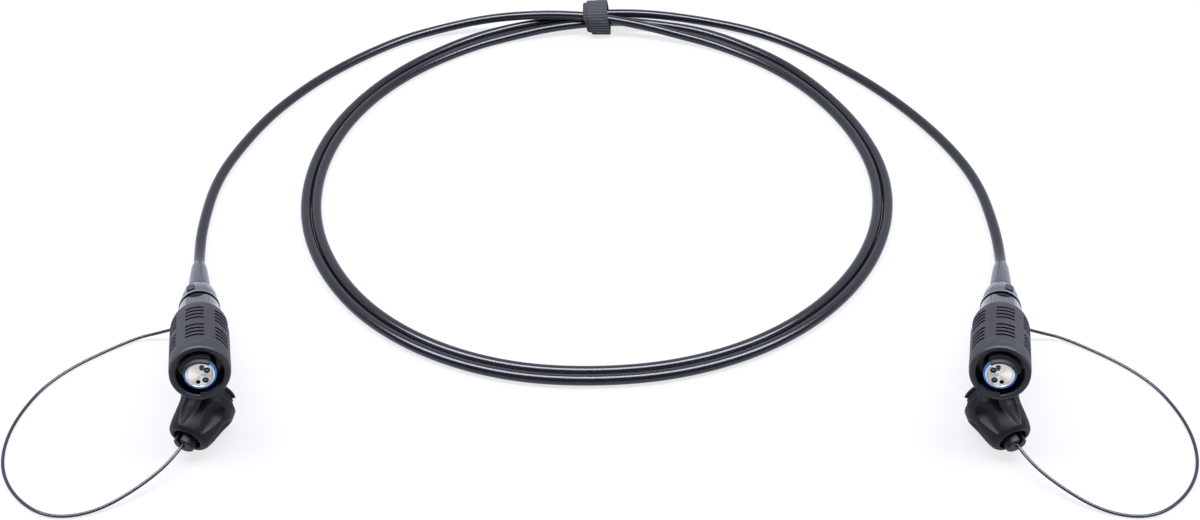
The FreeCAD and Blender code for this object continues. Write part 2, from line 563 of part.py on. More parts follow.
ground = cable_rad
right_open = 90 - opening
left_open = 90 + opening
inside = nose.multVec(Vector(0, 0, -size("boot_end") + 3))
outside = nose.multVec(Vector(0, 0, -size("boot_end") - 8.4))
left_route = [inside, outside] + world([
    (-223.6, -27, ground), (-224.5, 17, ground), (-215, 56, ground), (-201, 92, ground),
    (-175, 132.5, ground), (-137, 170, ground), (-106, 185, 4.2), (-74, 189.6, 9.2),
    (-40, 188.6, 12.6), (-11, 186.6, 12.8), (9, 184.4, 10.8), (30, 181, 8.2), (52, 175.4, 5)]) + [
    strand(near, right_open, -14), strand(near, right_open)]
cross_route = [strand(near, left_open), strand(near, left_open, 27)] + world([
    (-34, 183, 5.6), (-10, 187.4, 6.3), (9, 190.2, 6.3), (32, 189.4, 5.2)]) + [
    strand(far, right_open, -27), strand(far, right_open)]
right_route = [strand(far, left_open), strand(far, left_open, 27)] + world([
    (-36, 190.2, 6.2), (-10, 193.8, 8.8), (9, 195, 9.8), (36, 196.6, 8), (68, 194.2, 4),
    (101, 185, ground), (128, 167, ground), (162, 133, ground), (188, 97, ground), (209, 56, ground),
    (221, 15, ground), (221.8, -27, ground)]) + [
    Vector(-outside.x, outside.y, outside.z), Vector(-inside.x, inside.y, inside.z)]
pieces.append(tube("cable_lead_left", left_route, cable_rad))
pieces.append(tube("cable_crossover", cross_route, cable_rad))
pieces.append(tube("cable_lead_right", right_route, cable_rad))

# Lanyard: from the crimp at the collar over the floor into the cap's tail plug
rope = size("lanyard_dia") / 2
rope_route = [nose.multVec(root + outward * 6.6), nose.multVec(root + outward * 22)] + world([
    (-247, -121.5, rope), (-271, -141.5, rope), (-286, -171, rope), (-283.5, -198, rope),
    (-272, -219.5, rope), (-252, -232.5, rope), (-228, -229.5, rope), (-208.5, -214, 4.5)]) + [
    cap.multVec(Vector(0, 0, -size("plug_reach") - 5)), cap.multVec(Vector(0, 0, size("core_step") + 2))]
keep(tube("lanyard", rope_route, rope), "lanyard")


def block(label, wide, deep, high, corner, x):
    # a box round the bundle of strands with rounded long edges
    box = doc.addObject("Part::Box", label)
    box.setExpression("Length", bound(wide))
    box.setExpression("Width", bound(deep))
    box.setExpression("Height", bound(high))
    box.setExpression("Placement.Base.x", bound(x))
    box.setExpression("Placement.Base.y", bound("tie_y - (" + deep + ") / 2"))
    box.setExpression("Placement.Base.z", bound("2 * tie_layer + (tie_in_z - (" + high + ")) / 2"))
    doc.recompute()
    round_box = doc.addObject("Part::Fillet", label + "_round")
    round_box.Base = box
    along = []
    for number, side in enumerate(box.Shape.Edges, start=1):
        if abs(side.Vertexes[0].X - side.Vertexes[1].X) > 1:
            along.append((number, corner, corner))
    round_box.Edges = along
    doc.recompute()
    return round_box


# Tie strap: two layers of strap, the under one set off to the left
upper = block("tie_upper", "tie_wide", "tie_in_y + 4 * tie_layer", "tie_in_z + 4 * tie_layer",
              size("tie_corner") + 2 * size("tie_layer"), "tie_x - tie_wide / 2")
under = block("tie_under", "tie_wide", "tie_in_y + 2 * tie_layer", "tie_in_z + 2 * tie_layer",
              size("tie_corner") + size("tie_layer"), "tie_x - tie_wide / 2 - tie_shift")
room = block("tie_room", "tie_wide + 40", "tie_in_y", "tie_in_z", size("tie_corner") - 1.5,
             "tie_x - tie_wide / 2 - 20")
tie = cut("tie_strap", fuse("tie_layers", [upper, under]), [room])
pieces.append(tie)

doc.recompute()
for item in doc.Objects:
    if "Invalid" in item.State or "Error" in item.State:
        raise RuntimeError("not built: " + item.Label)
os.makedirs("parts", exist_ok=True)
for item in pieces:
    if item.Shape.isNull() or not item.Shape.isValid():
        raise RuntimeError("bad shape: " + item.Label)
    item.Shape.exportStep("parts/" + item.Label + ".step")
print("pieces", len(pieces))
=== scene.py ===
import json
import math

import bpy
import numpy as np
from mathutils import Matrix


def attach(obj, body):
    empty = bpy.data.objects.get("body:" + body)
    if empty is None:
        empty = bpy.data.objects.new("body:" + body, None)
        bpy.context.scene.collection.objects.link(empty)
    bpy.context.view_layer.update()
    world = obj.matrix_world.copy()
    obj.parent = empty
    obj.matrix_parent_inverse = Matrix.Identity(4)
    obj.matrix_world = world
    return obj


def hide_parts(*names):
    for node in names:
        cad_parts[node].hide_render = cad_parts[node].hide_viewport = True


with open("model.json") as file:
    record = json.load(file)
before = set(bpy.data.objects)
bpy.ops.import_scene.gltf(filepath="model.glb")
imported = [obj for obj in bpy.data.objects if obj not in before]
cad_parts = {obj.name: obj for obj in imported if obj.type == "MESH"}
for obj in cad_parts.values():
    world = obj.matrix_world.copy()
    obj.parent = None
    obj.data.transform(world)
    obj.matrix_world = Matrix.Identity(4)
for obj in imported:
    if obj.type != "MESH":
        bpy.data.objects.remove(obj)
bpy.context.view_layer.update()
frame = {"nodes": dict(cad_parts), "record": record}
scene = bpy.context.scene
scene.view_settings.view_transform = "Standard"
mm = 0.001
print("frame loaded:", len(frame["nodes"]), "nodes")

# Camera, floor and light
studio = {
    "eye": (0.0, -0.6373, 0.5), "pitch": 49.5, "lens": 42.0, "sensor": 36.0,
    "floorSize": 8.0, "floorAt": -0.0002, "floorColor": (0.86, 0.86, 0.86, 1.0),
    "floorGlow": 0.75, "floorFade": (0.6, 1.8),
    # width and depth, place in y and z, watts, and whether the box lights matte surfaces too
    "boxes": {"overheadBox": ((2.4, 0.46), (0.02, 1.6), 34.0, True),
              "highlightBox": ((2.8, 0.6), (-0.25, 1.4), 66.0, False)},
    "skyBack": 1.0, "skyFront": 0.1, "skyAim": (0.76, 0.65), "skyEdge": (-0.15, 0.7),
    "cool": (0.93, 0.97, 1.16, 1.0),
}
white = (1.0, 1.0, 1.0, 1.0)


class Wire:
    # an output socket of a shader tree; sums and products of wires add Math nodes
    def __init__(self, tree, socket=None):
        self.tree = tree
        self.socket = socket

    def node(self, kind, settings=None, inputs=None, out=0):
        made = self.tree.nodes.new("ShaderNode" + kind)
        for name, value in (settings or {}).items():
            setattr(made, name, value)
        for name, value in (inputs or {}).items():
            if isinstance(value, Wire):
                self.tree.links.new(value.socket, made.inputs[name])
            else:
                made.inputs[name].default_value = value
        return Wire(self.tree, made.outputs[out])

    def math(self, operation, first, second):
        return self.node("Math", {"operation": operation}, {0: first, 1: second})

    def __add__(self, other):
        return self.math("ADD", self, other)

    def __radd__(self, other):
        return self.math("ADD", other, self)

    def __sub__(self, other):
        return self.math("SUBTRACT", self, other)

    def __rsub__(self, other):
        return self.math("SUBTRACT", other, self)

    def __mul__(self, other):
        return self.math("MULTIPLY", self, other)

    def __rmul__(self, other):
        return self.math("MULTIPLY", other, self)

    def __pow__(self, other):
        return self.math("POWER", self, other)

    def peak(self, other):
        return self.math("MAXIMUM", self, other)

    def sine(self):
        return self.math("SINE", self, 0.0)

    def band(self, low, high, toLow=0.0, toHigh=1.0):
        # smooth step from toLow at low to toHigh at high
        return self.node("MapRange", {"interpolation_type": "SMOOTHSTEP"},
                         {0: self, 1: low, 2: high, 3: toLow, 4: toHigh})

    def strip(self, rise, fall):
        # one between rise and fall, zero outside, each of them a smooth step
        return self.band(*rise) * self.band(*fall)

    def tint(self, first, second):
        return self.node("Mix", {"data_type": "RGBA"}, {0: self, 6: first, 7: second}, 2)

    def bump(self, strength, distance):
        return self.node("Bump", None, {"Height": self, "Strength": strength, "Distance": distance})


def grey(value, warm=0.0):
    # a bluish grey, less blue the warmer it is
    return (value * (0.97 + warm), value, value * (1.14 - 2 * warm), 1.0)


camera = bpy.data.objects.new("camera", bpy.data.cameras.new("camera"))
camera.location = studio["eye"]
camera.rotation_euler = (math.radians(studio["pitch"]), 0, 0)
camera.data.lens = studio["lens"]
camera.data.sensor_width = studio["sensor"]
camera.data.sensor_fit = "HORIZONTAL"
camera.data.clip_start = 0.01
scene.collection.objects.link(camera)
scene.camera = camera


def lightStudio():
    world = bpy.data.worlds.new("studio")
    world.use_nodes = True
    scene.world = world
    start = Wire(world.node_tree)
    rays = [start.node("LightPath", out=k) for k in ("Is Camera Ray", "Is Transmission Ray")]
    seen = rays[0].peak(rays[1])
    # white at the back and sides, dim round the camera, so black gloss keeps its shape
    spot = start.node("TexCoord", out="Generated")
    depth, height = (start.node("SeparateXYZ", None, {0: spot}, axis) for axis in "YZ")
    nearer, higher = studio["skyAim"]
    around = height * higher - depth * nearer
    around = around.band(*studio["skyEdge"], studio["skyBack"], studio["skyFront"])
    sky = world.node_tree.nodes["Background"]
    tone = seen.tint(studio["cool"], white)
    world.node_tree.links.new(tone.socket, sky.inputs["Color"])
    world.node_tree.links.new(around.peak(seen).socket, sky.inputs["Strength"])

    # the overhead box lights everything; the highlight box only shows in glossy surfaces
    for name, (span, place, power, lightsAll) in studio["boxes"].items():
        box = bpy.data.lights.new(name, "AREA")
        box.shape = "RECTANGLE"
        box.size, box.size_y = span
        box.energy = power
        box.color = studio["cool"][:3]
        lamp = bpy.data.objects.new(name, box)
        lamp.location = (0, *place)
        lamp.visible_diffuse = lightsAll
        scene.collection.objects.link(lamp)


def layFloor():
    half = studio["floorSize"] / 2
    mesh = bpy.data.meshes.new("floor")
    corners = [(-half, -half), (half, -half), (half, half), (-half, half)]
    mesh.from_pydata([(x, y, studio["floorAt"]) for x, y in corners], [], [(0, 1, 2, 3)])
    floor = bpy.data.objects.new("floor", mesh)
    scene.collection.objects.link(floor)
    paint = bpy.data.materials.new("floorPaint")
    paint.use_nodes = True
    tree = paint.node_tree
    start = Wire(tree)
    matte = start.node("BsdfDiffuse", None, {"Color": studio["floorColor"]})
    rays = [start.node("LightPath", out=k)
            for k in ("Is Camera Ray", "Is Glossy Ray", "Is Transmission Ray")]
    tone = rays[1].tint(white, studio["cool"])
    glow = start.node("Emission", None, {"Color": tone, "Strength": 1.0})
    # far from the object the floor fades to the white of the background
    where = start.node("TexCoord", out="Object")
    reach = start.node("VectorMath", {"operation": "LENGTH"}, {0: where}, "Value")
    fade = reach.band(*studio["floorFade"], studio["floorGlow"], 1.0)
    seen = (rays[0] * fade).peak(rays[1].peak(rays[2]) * studio["floorGlow"])
    both = start.node("MixShader", None, {0: seen, 1: matte, 2: glow})
    tree.links.new(both.socket, tree.nodes["Material Output"].inputs["Surface"])
    mesh.materials.append(paint)


lightStudio()
layFloor()
print("studio ready")

# Axes of the left connector and of its cap; the right end is their mirror image

def heading(yaw, tilt):
    # turned by yaw from the way to the camera and raised by tilt
    yaw, tilt = math.radians(yaw), math.radians(tilt)
    return np.array([math.cos(tilt) * math.sin(yaw), -math.cos(tilt) * math.cos(yaw), math.sin(tilt)])


def axesAlong(forward):
    # columns: across, upward, forward
    across = np.cross((0, 0, 1), forward)
    across /= np.linalg.norm(across)
    return np.stack([across, np.cross(forward, across), forward], 1)


connector = {"nose": (-182.1, -186.26, 46.75), "yaw": 15.8, "tilt": 17.85}
dustCap = {"tail": (-193.4, -193.55, 10.27), "yaw": 19.9, "tilt": 11.2}
noseAxes = axesAlong(heading(connector["yaw"], connector["tilt"]))
capAxes = axesAlong(-heading(-dustCap["yaw"], -dustCap["tilt"]))


# Finishes, one for each slot of the record

def finish(name, vary, **fixed):
    # a Principled material; fixed values sit on its sockets, vary gives what changes
    made = bpy.data.materials.new(name)
    made.use_nodes = True
    tree = made.node_tree
    shader = tree.nodes["Principled BSDF"]
    for key, value in fixed.items():
        shader.inputs[key.replace("_", " ")].default_value = value
    wires = vary(Wire(tree))
    hollow = wires.pop("Hollow", None)
    for key, wire in wires.items():
        tree.links.new(wire.socket, shader.inputs[key])
    if hollow:
        # painted shade: where the mask is set, grooves, gaps, creases, the claw's lip and the grip's rear
        # shoulder keep no gloss and fade to matte black
        matte = hollow.node("BsdfDiffuse", None, {"Color": grey(0.004)})
        both = hollow.node("MixShader", None, {0: hollow, 1: Wire(tree, shader.outputs[0]), 2: matte})
        tree.links.new(both.socket, tree.nodes["Material Output"].inputs["Surface"])
    return made


def grain(start, scale, detail, stretch=None):
    # fractal noise on the piece's own coordinates, stretched where a stretch is given
    where = start.node("TexCoord", out="Object")
    if stretch:
        where = start.node("Mapping", None, {"Vector": where, "Scale": stretch})
    return start.node("TexNoise", None, {"Vector": where, "Scale": scale, "Detail": detail})


def attribute(start, name):
    # a value that the mesh holds at each of its points
    return start.node("Attribute", {"attribute_name": name}, None, "Fac")


def onConnector(start):
    # the connector's own across, upward and forward distances in millimetres, both ends alike
    where = start.node("TexCoord", out="Object")
    x, y, z = (start.node("SeparateXYZ", None, {0: where}, axis) for axis in "XYZ")
    spot = [x.math("ABSOLUTE", x, 0.0) * -1.0, y, z]
    spot = [value * 1000.0 - zero for value, zero in zip(spot, connector["nose"])]
    return [spot[0] * a[0] + spot[1] * a[1] + spot[2] * a[2] for a in noseAxes.T.tolist()]


def jacketFinish(start):
    clouds = grain(start, 45.0, 3.0)
    scuffs = grain(start, 420.0, 3.0).band(0.6, 0.78)
    return {
        "Base Color": (clouds * 0.7 + scuffs * 0.3).tint(grey(0.009), grey(0.019)),
        "Roughness": 0.15 + clouds * 0.1 + scuffs * 0.05,
        "Normal": (clouds + scuffs * 0.2).bump(0.03, 0.0002),
    }


def gripFinish(start):
    fine = grain(start, 2600.0, 2.0)
    blotch = grain(start, 170.0, 3.0)
    wear = attribute(start, "wear")
    # random blotches, plus painted highlight along the edges of grooves, flutes and notch and on the rim
    blotchAndSheen = blotch.band(0.35, 0.75) * 0.3 + wear * 0.7
    return {
        "Base Color": blotchAndSheen.tint(grey(0.008), grey(0.034)),
        "Roughness": 0.48 + blotch * 0.12 - wear * 0.06,
        "Normal": fine.bump(0.2, 0.0002),
        # painted shade in the grooves and on the rear shoulder
        "Hollow": attribute(start, "hollow") * 0.9,
    }


def capFinish(start):
    fine = grain(start, 1500.0, 2.0)
    blotch = grain(start, 90.0, 3.0)
    wear = attribute(start, "wear")
    return {
        # painted highlight: lighter on the scallops' rims, with random blotches
        "Base Color": (wear * 0.7 + blotch * 0.25).tint(grey(0.004), grey(0.02)),
        "Roughness": 0.4 + blotch * 0.1 + fine * 0.05,
        "Normal": fine.bump(0.1, 0.0002),
    }


def plasticFinish(dark, light, rough):
    def vary(start):
        fine = grain(start, 1700.0, 2.0)
        blotch = grain(start, 120.0, 3.0)
        return {
            "Base Color": blotch.tint(grey(dark), grey(light)),
            "Roughness": rough + blotch * 0.1,
            "Normal": fine.bump(0.1, 0.0002),
        }
    return vary


def metalFinish(dark, light, rough, warm=0.0):
    def vary(start):
        fine = grain(start, 900.0, 3.0)
        blotch = grain(start, 140.0, 3.0)
        scratch = grain(start, 1.0, 2.0, (300.0, 300.0, 2600.0))
        return {
            "Base Color": blotch.tint(grey(dark, warm), grey(light, warm)),
            "Roughness": rough + fine * 0.12,
            "Normal": (scratch + fine).bump(0.06, 0.0001),
        }
    return vary


# where the body's finish changes, and where gap, crease and lip get painted shade: millimetres from the
# nose, and radians round it for the knurl
bodyZones = {
    "claw": (-14.0, -11.0), "knurl": (1.95, 2.05), "nut": (-73.6, -73.8), "flange": (-78.2, -77.8),
    "gap": ((-74.4, -74.2), (-72.6, -72.9)), "crease": ((-78.7, -78.3), (-76.3, -76.8)),
    "lip": ((5.2, 5.35), (6.0, 5.9)),
}


def bodyFinish(start):
    # grey metal with fine turning marks; the claw in front is black and knurled on one side
    across, upward, forward = onConnector(start)
    angle = across.math("ARCTAN2", upward, across)
    claw = forward.band(*bodyZones["claw"])
    nut = forward.band(*bodyZones["nut"])
    flange = forward.band(*bodyZones["flange"]) * nut
    gap, crease, lip = (forward.strip(*bodyZones[name]) for name in ("gap", "crease", "lip"))
    blotch = grain(start, 160.0, 3.0)
    marks = (forward * 31.0).sine() * (1.0 - claw)
    knurl = (angle * 170.0).sine() * claw * angle.band(*bodyZones["knurl"])
    metal = (nut * 0.5 - flange * 0.3 + blotch * 0.3).tint(grey(0.008, 0.03), grey(0.17, 0.05))
    return {
        "Base Color": claw.tint(metal, grey(0.02)),
        "Coat Weight": 1.0 - claw,
        "Metallic": 0.9 - claw * 0.8,
        "Roughness": 0.16 + claw * 0.12 + blotch * 0.1,
        "Normal": (marks * 0.25 + blotch + knurl * 5.0).bump(0.12, 0.0001),
        # painted shade: the gap in front of the nut, the step behind the flange and the claw's lip fade
        # to matte black
        "Hollow": gap + crease * 0.75 + lip * 0.72,
    }


def insertFinish(start):
    # a turned face: fine rings, and painted reflection in light and dark sectors that run out from the
    # middle, with painted light on one side
    across, upward, forward = onConnector(start)
    angle = across.math("ARCTAN2", upward, across)
    reach = (across * across + upward * upward) ** 0.5
    sheenSectors = (angle * 3.0 - 1.1).sine() * 0.5 + 0.5
    paintedLight = (angle - 0.9).sine() * 0.5 + 0.5
    broken = grain(start, 300.0, 3.0)
    rings = (reach * 36.0).sine()
    tone = sheenSectors * 0.4 + paintedLight * 0.45 + broken * 0.2
    # painted glow: the face emits its own colour; its holes get dark brown painted shade
    face = forward.band(0.95, 1.12)
    color = tone.tint((0.36, 0.29, 0.21, 1.0), (0.96, 0.93, 0.88, 1.0))
    return {
        # painted shade: behind the face, in the holes, the colour is dark brown
        "Base Color": face.tint((0.06, 0.035, 0.02, 1.0), color),
        "Emission Color": face.tint((0.0, 0.0, 0.0, 1.0), color),
        "Metallic": 0.1 + sheenSectors * 0.15,
        "Roughness": 0.3 + broken * 0.14,
        "Normal": (rings + broken).bump(0.08, 0.0001),
    }


def collarFinish(start):
    # the hoop is metal like the nut under it, the block and the socket on it are matte and dark
    block = attribute(start, "block")
    fine = grain(start, 1300.0, 3.0)
    blotch = grain(start, 160.0, 3.0)
    return {
        "Base Color": block.tint(grey(0.14, 0.04), blotch.tint(grey(0.02), grey(0.036))),
        "Metallic": 0.9 - block * 0.9,
        "Roughness": 0.18 + block * 0.34 + blotch * 0.1,
        "Normal": fine.bump(0.1, 0.0001),
    }


def colorFinish(first, second, rough):
    def vary(start):
        fine = grain(start, 1400.0, 2.0)
        return {
            "Base Color": fine.tint(first, second),
            "Roughness": rough + fine * 0.1,
            "Normal": fine.bump(0.08, 0.0001),
        }
    return vary


def strapFinish(start):
    # cross ribs come from the mesh, their crests get painted highlight and the grooves between them
    # painted shade; the yarns are a fine diagonal weave on the strap's own map
    where = start.node("TexCoord", out="UV")
    yarn = start.node("TexWave", {"bands_direction": "DIAGONAL"},
                      {"Vector": where, "Scale": 2.2, "Distortion": 1.2, "Detail": 2.0})
    fuzz = grain(start, 1500.0, 3.0)
    ribs = attribute(start, "rib")
    return {
        "Base Color": (ribs * 0.6 + yarn * 0.2 + fuzz * 0.2).tint(grey(0.004), grey(0.09)),
        "Roughness": 0.7 + fuzz * 0.2,
        "Normal": (yarn + fuzz).bump(0.5, 0.0004),
    }


def ropeFinish(start):
    fine = grain(start, 1200.0, 2.0)
    crown = attribute(start, "crown")
    return {
        # painted highlight on the strands' crowns and painted shade in the valleys between them
        "Base Color": (crown * 0.8 + fine * 0.2).tint(grey(0.008), grey(0.05)),
        "Roughness": 0.17 + fine * 0.1,
        "Normal": fine.bump(0.06, 0.0001),
    }


blue = ((0.03, 0.2, 0.55, 1.0), (0.045, 0.27, 0.68, 1.0))
teal = ((0.008, 0.07, 0.1, 1.0), (0.03, 0.2, 0.28, 1.0))
yellow = ((0.7, 0.5, 0.08, 1.0), (0.78, 0.58, 0.12, 1.0))
finishes = {
    "cable_jacket": finish("cableJacket", jacketFinish, IOR=1.5),
    "grip_rubber": finish("gripRubber", gripFinish, IOR=1.5),
    "cap_plastic": finish("capPlastic", capFinish, IOR=1.5, Specular_IOR_Level=0.2),
    "cap_core_plastic": finish("capCorePlastic", plasticFinish(0.007, 0.016, 0.4), IOR=1.5,
                               Specular_IOR_Level=0.2),
    "collar_plastic": finish("collarPlastic", collarFinish, IOR=1.5),
    "boot_rubber": finish("bootRubber", plasticFinish(0.012, 0.024, 0.18), IOR=1.52),
    "seal_black": finish("sealBlack", plasticFinish(0.004, 0.009, 0.45), IOR=1.5),
    "ring_metal": finish("ringMetal", metalFinish(0.005, 0.01, 0.3), IOR=1.5),
    "body_metal": finish("bodyMetal", bodyFinish, IOR=1.5, Coat_IOR=1.5, Coat_Roughness=0.1),
    "bright_metal": finish("brightMetal", metalFinish(0.74, 0.86, 0.2, 0.04), Metallic=1.0),
    # the insert's face gets a painted glow from this emission
    "insert_metal": finish("insertMetal", insertFinish, IOR=1.5, Emission_Strength=0.48),
    "pin_steel": finish("pinSteel", metalFinish(0.1, 0.17, 0.22, 0.04), Metallic=1.0),
    "seal_blue": finish("sealBlue", colorFinish(*blue, 0.35), IOR=1.45),
    "lens_glass": finish("lensGlass", colorFinish(*teal, 0.02), IOR=1.75, Coat_Weight=1.0),
    "ceramic_white": finish("ceramicWhite", colorFinish(grey(0.7), grey(0.8), 0.25)),
    "fibre_buffer": finish("fibreBuffer", colorFinish(*yellow, 0.4)),
    "lanyard_coat": finish("lanyardCoat", ropeFinish, IOR=1.5),
    "tie_fabric": finish("tieFabric", strapFinish),
}
for row in frame["record"]["subparts"]:
    paint = frame["nodes"][row["node"]].data.materials
    paint.clear()
    paint.append(finishes[row["material_slot"]])
print("finishes:", len(finishes))

# Mesh helpers: every shape is a grid of points, worked out as whole arrays

def shell(grid, closeRows=True, closeCols=True, uvSize=(1.0, 1.0), **marks):
    # rows and columns of points, whether each way runs round, and values for the finish
    return {"grid": grid, "rows": closeRows, "cols": closeCols, "uv": uvSize, "marks": marks}


def shellFaces(part):
    # quads between neighbouring rows and columns, their map corners, and end caps where it is open
    rows, cols = part["grid"].shape[:2]
    i, j = np.meshgrid(np.arange(rows if part["rows"] else rows - 1),
                       np.arange(cols if part["cols"] else cols - 1), indexing="ij")
    down, right = (i + 1) % rows, (j + 1) % cols
    quads = np.stack([i * cols + j, i * cols + right, down * cols + right, down * cols + j], -1)
    u = np.stack([j, j + 1, j + 1, j], -1) * (part["uv"][0] / (j.max() + 1))
    v = np.stack([i, i, i + 1, i + 1], -1) * (part["uv"][1] / (i.max() + 1))
    caps = []
    number = np.arange(rows * cols).reshape(rows, cols)
    if not part["rows"]:
        caps += [number[0][::-1], number[-1]]
    if not part["cols"]:
        caps += [number[:, 0], number[:, -1][::-1]]
    return quads.reshape(-1, 4), np.stack([u, v], -1).reshape(-1, 4, 2), caps


def insideOut(points, quads, caps):
    # true where the faces enclose a negative volume, the sum of a . (b x c) over their triangles
    a, b, c, d = (points[quads[:, k]] for k in range(4))
    volume = np.sum(np.cross(b, c) * a) + np.sum(np.cross(c, d) * a)
    for ring in caps:
        p = points[ring]
        volume += np.sum(np.cross(p[1:-1], p[2:]) * p[0])
    return volume < 0


def meshPiece(name, shells, slotName):
    # all shells in one mesh, with its map, its values for the finish and its slot
    points, faces, maps, rounded, marks = [], [], [], [], {}
    first = 0
    for part in shells:
        flat = part["grid"].reshape(-1, 3) * mm
        quads, uv, caps = shellFaces(part)
        if insideOut(flat, quads, caps):
            quads, uv, caps = quads[:, ::-1], uv[:, ::-1], [ring[::-1] for ring in caps]
        points.append(flat)
        faces += (quads + first).tolist() + [(ring + first).tolist() for ring in caps]
        maps += [uv.reshape(-1, 2)] + [np.zeros((len(ring), 2)) for ring in caps]
        rounded += [True] * len(quads) + [False] * len(caps)
        for key in part["marks"]:
            marks.setdefault(key, {})[first] = part["marks"][key].ravel()
        first += len(flat)
    mesh = bpy.data.meshes.new(name)
    mesh.from_pydata(np.concatenate(points), [], faces)
    mesh.polygons.foreach_set("use_smooth", rounded)
    corners = np.concatenate(maps).astype(np.float32)
    mesh.uv_layers.new(name="UVMap").data.foreach_set("uv", corners.ravel())
    for key, runs in marks.items():
        values = np.zeros(first, np.float32)
        for start, run in runs.items():
            values[start:start + len(run)] = run
        mesh.attributes.new(key, "FLOAT", "POINT").data.foreach_set("value", values)
    mesh.materials.append(finishes[slotName])
    mesh.update()
    piece = bpy.data.objects.new(name, mesh)
    scene.collection.objects.link(piece)
    return piece


def mirrored(shells):
    # the right end is the left one mirrored in X; faces are turned by the volume test
    return [dict(part, grid=part["grid"] * (-1.0, 1.0, 1.0)) for part in shells]


def bothEnds(name, shells, slotName, body, node):
    # the piece and its mirror image, each on its own side's body in place of that side's node
    for side, parts in (("left", shells), ("right", mirrored(shells))):
        piece = meshPiece(side + "_" + name, parts, slotName)
        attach(piece, body if body == "assembly" else side + "_" + body)
        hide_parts(side + "_" + node)
    print(name, "both ends,", len(piece.data.polygons), "faces each")


def atNose(local):
    # from the connector's own axes to the frame
    return np.asarray(local, float) @ noseAxes.T + connector["nose"]


def atCap(local):
    # from the cap's own axes to the frame
    return np.asarray(local, float) @ capAxes.T + dustCap["tail"]


def polar(radius, degrees, height):
    # (r cos a, r sin a, z)
    turn = np.radians(degrees)
    return np.stack(np.broadcast_arrays(radius * np.cos(turn), radius * np.sin(turn), height), -1)


rounding = {"mostOfSide": 0.42, "longSide": 3.5, "rowBeyond": 1.6}


def softOutline(corners, steps=4):
    # a closed outline of (radius, height, rounding): each corner becomes a parabola that leaves
    # its sides a rounding away, with a row just beyond it to keep long flats flat
    spots = np.array([corner[:2] for corner in corners], float)
    t = np.linspace(0, 1, steps + 1)[:, None]
    out = []
    for k, here in enumerate(spots):
        wanted = corners[k][2]
        if wanted == 0:
            out.append(here[None])
            continue
        sides = spots[k - 1] - here, spots[(k + 1) % len(spots)] - here
        lengths = [np.linalg.norm(side) for side in sides]
        cuts = [min(wanted, rounding["mostOfSide"] * n) for n in lengths]
        ways = [side / n for side, n in zip(sides, lengths)]
        enter, leave = (here + way * cut for way, cut in zip(ways, cuts))
        if lengths[0] > rounding["longSide"] * cuts[0]:
            out.append((here + ways[0] * cuts[0] * rounding["rowBeyond"])[None])
        out.append((1 - t) ** 2 * enter + 2 * t * (1 - t) * here + t ** 2 * leave)
        if lengths[1] > rounding["longSide"] * cuts[1]:
            out.append((here + ways[1] * cuts[1] * rounding["rowBeyond"])[None])
    return np.concatenate(out)


def turned(outline, columns):
    # outline spun round the axis: (r cos a, r sin a, z)
    angle = np.linspace(0, 360, columns, endpoint=False)
    return polar(outline[:, :1], angle[None, :], outline[:, 1:])


def smooth(value, low, high):
    # smooth step 3 t^2 - 2 t^3, from 0 at low to 1 at high
    t = np.clip((value - low) / (high - low), 0, 1)
    return t * t * (3 - 2 * t)


def turnGap(angle, centre):
    # signed angle from centre, from -180 to 180 degrees
    return (angle - centre + 180) % 360 - 180


# Cable: the whole run is one smooth line, left connector to right connector.
# nearShift and farShift move the coil's control points in or out, from 60 degrees clockwise.
cable = {
    "radius": 2.9, "coil": (-2.5, 21.3), "near": 162.9, "far": 168.75, "opening": 30, "stepTurn": 15,
    "sides": 26, "resolution": 18, "spacing": 1.6, "start": -131.6, "straight": -143.0,
    "leaveCoil": 27.0, "mapsPerMetre": 40,
    "nearShift": (1.2, 0.3, -0.9, -0.8, 0.7, 1.1, 0.8, 0.5, 0.15, -0.45, -0.8,
                  1.4, 2.5, 2.6, 1.1, 0.1, -1.4, -1.7, -1.3, -0.9, 0.2),
    "farShift": (5.2, 3.0, -0.7, -0.8, 0.7, 1.1, 0.8, 0.5, 0.15, -0.45, -0.8,
                 1.4, 2.5, 2.6, 1.1, 0.1, -1.4, -1.7, -1.3, 0.6, 3.8),
}
lie = cable["radius"]


def strand(radius, degrees, onward=0.0):
    # a point of the coil, or that far onward along its clockwise tangent
    turn = math.radians(degrees)
    return (cable["coil"][0] + radius * math.cos(turn) + onward * math.sin(turn),
            cable["coil"][1] + radius * math.sin(turn) - onward * math.cos(turn), lie)


def coilTurn(radius, shifts):
    # control points stand a little outside the turn, because the line cuts inside them
    step = cable["stepTurn"]
    outside = radius / math.cos(math.radians(step / 2))
    first = 90 - cable["opening"]
    return [strand(outside + shift, first - k * step) for k, shift in enumerate(shifts)]


def smoothLine(name, route, resolution):
    # points read from a NURBS line of order 3 with the route as its control points
    data = bpy.data.curves.new(name, "CURVE")
    data.dimensions = "3D"
    line = data.splines.new("NURBS")
    line.points.add(len(route) - 1)
    line.points.foreach_set("co", np.c_[np.array(route, float), np.ones(len(route))].ravel())
    line.order_u = 3
    line.use_endpoint_u = True
    line.resolution_u = resolution
    drawn = bpy.data.objects.new(name, data)
    mesh = bpy.data.meshes.new_from_object(drawn)
    spots = np.zeros(len(mesh.vertices) * 3, np.float32)
    mesh.vertices.foreach_get("co", spots)
    bpy.data.objects.remove(drawn)
    bpy.data.meshes.remove(mesh)
    bpy.data.curves.remove(data)
    return spots.reshape(-1, 3).astype(float)


def lengthAlong(line):
    # distance from the line's start to each of its points
    return np.r_[0, np.cumsum(np.linalg.norm(np.diff(line, axis=0), axis=1))]


